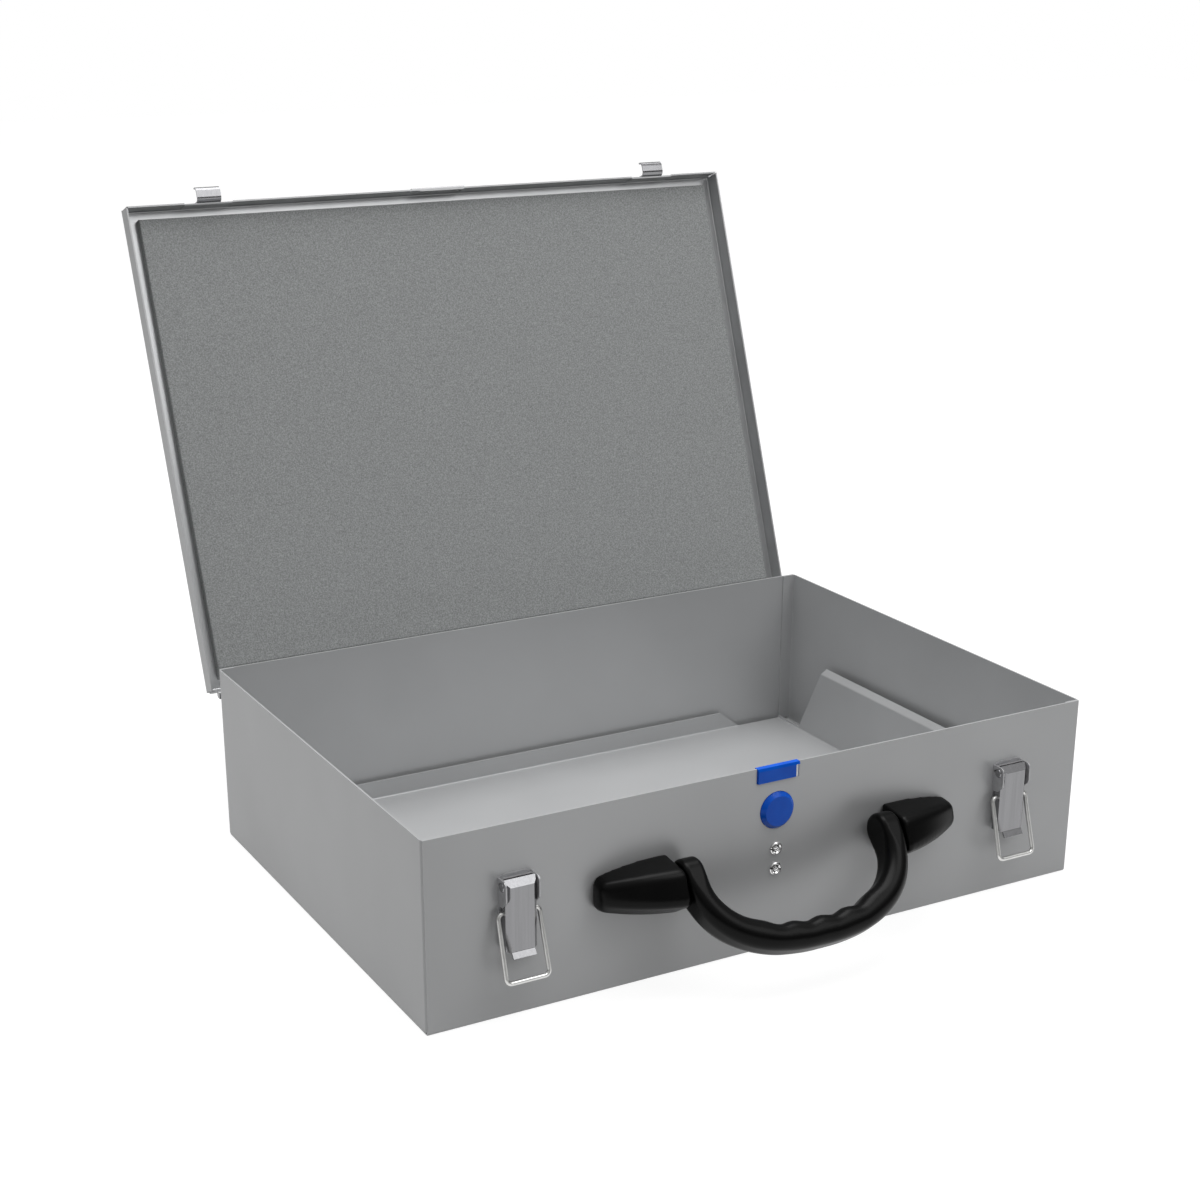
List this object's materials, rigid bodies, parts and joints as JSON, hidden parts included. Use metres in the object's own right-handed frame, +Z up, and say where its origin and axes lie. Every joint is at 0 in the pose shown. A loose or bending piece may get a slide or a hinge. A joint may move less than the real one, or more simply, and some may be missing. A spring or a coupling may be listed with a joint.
{
  "type": "organizer case",
  "caption": "Sheet steel organizer case with a hinged lid standing open, foam lined, with two draw latches, a black carrying handle and a blue push-button lock.",
  "frame": {"origin": "centre of the flat bottom face", "axes": "+Z up, front wall with handle and latches toward -Y, hinge toward +Y"},
  "size_m": [0.4424, 0.4958, 0.3978],
  "materials": {
    "steel": "satin light grey paint",
    "zinc": "zinc plated",
    "bright": "bright rivet heads",
    "black_plastic": "satin black",
    "blue_plastic": "semi gloss blue",
    "foam": "speckled grey foam"
  },
  "bodies": {
    "case": {"base_shell": "steel", "left_side_panel": "steel", "right_side_panel": "steel", "insert_plate": "steel", "insert_rails": "steel", "hinge_base_leaf": "steel", "hinge_pin": "zinc", "left_latch_bracket": "zinc", "right_latch_bracket": "zinc", "left_lever_pin": "zinc", "right_lever_pin": "zinc", "latch_rivets": "zinc", "left_handle_boot": "black_plastic", "right_handle_boot": "black_plastic", "handle_pivot_pins": "zinc", "handle_screws": "zinc", "lock_rivets": "bright", "lock_spring_foot": "zinc"},
    "lid": {"lid_shell": "steel", "foam_pad": "foam", "hinge_lid_leaf": "steel", "left_catch_hook": "zinc", "right_catch_hook": "zinc"},
    "left_lever": {"left_lever": "zinc"},
    "right_lever": {"right_lever": "zinc"},
    "left_bail": {"left_bail": "zinc"},
    "right_bail": {"right_bail": "zinc"},
    "handle": {"handle_grip": "black_plastic"},
    "lock": {"lock_spring_blade": "zinc", "lock_tongue": "blue_plastic", "release_button": "blue_plastic"}
  },
  "joints": [
    {"name": "lid_hinge", "type": "hinge", "parent": "case", "child": "lid", "pos_m": [0, 0.15865, 0.0951], "axis": [-1, 0, 0], "range_deg": [-110, 0]},
    {"name": "left_lever_pivot", "type": "hinge", "parent": "case", "child": "left_lever", "pos_m": [-0.1663, -0.15925, 0.08], "axis": [-1, 0, 0], "range_deg": [0, 130]},
    {"name": "left_bail_pivot", "type": "hinge", "parent": "left_lever", "child": "left_bail", "pos_m": [-0.1663, -0.15775, 0.064], "axis": [1, 0, 0], "range_deg": [-158.3, 0]},
    {"name": "right_lever_pivot", "type": "hinge", "parent": "case", "child": "right_lever", "pos_m": [0.1663, -0.15925, 0.08], "axis": [-1, 0, 0], "range_deg": [0, 130]},
    {"name": "right_bail_pivot", "type": "hinge", "parent": "right_lever", "child": "right_bail", "pos_m": [0.1663, -0.15775, 0.064], "axis": [1, 0, 0], "range_deg": [-158.3, 0]},
    {"name": "handle_swing", "type": "hinge", "parent": "case", "child": "handle", "pos_m": [0, -0.16775, 0.0655], "axis": [-1, 0, 0], "range_deg": [0, 94]},
    {"name": "lock_press", "type": "hinge", "parent": "case", "child": "lock", "pos_m": [0, -0.15265, 0.0663], "axis": [-1, 0, 0], "range_deg": [0, 2.6], "stiffness_Nm_per_rad": 0.5}
  ]
}
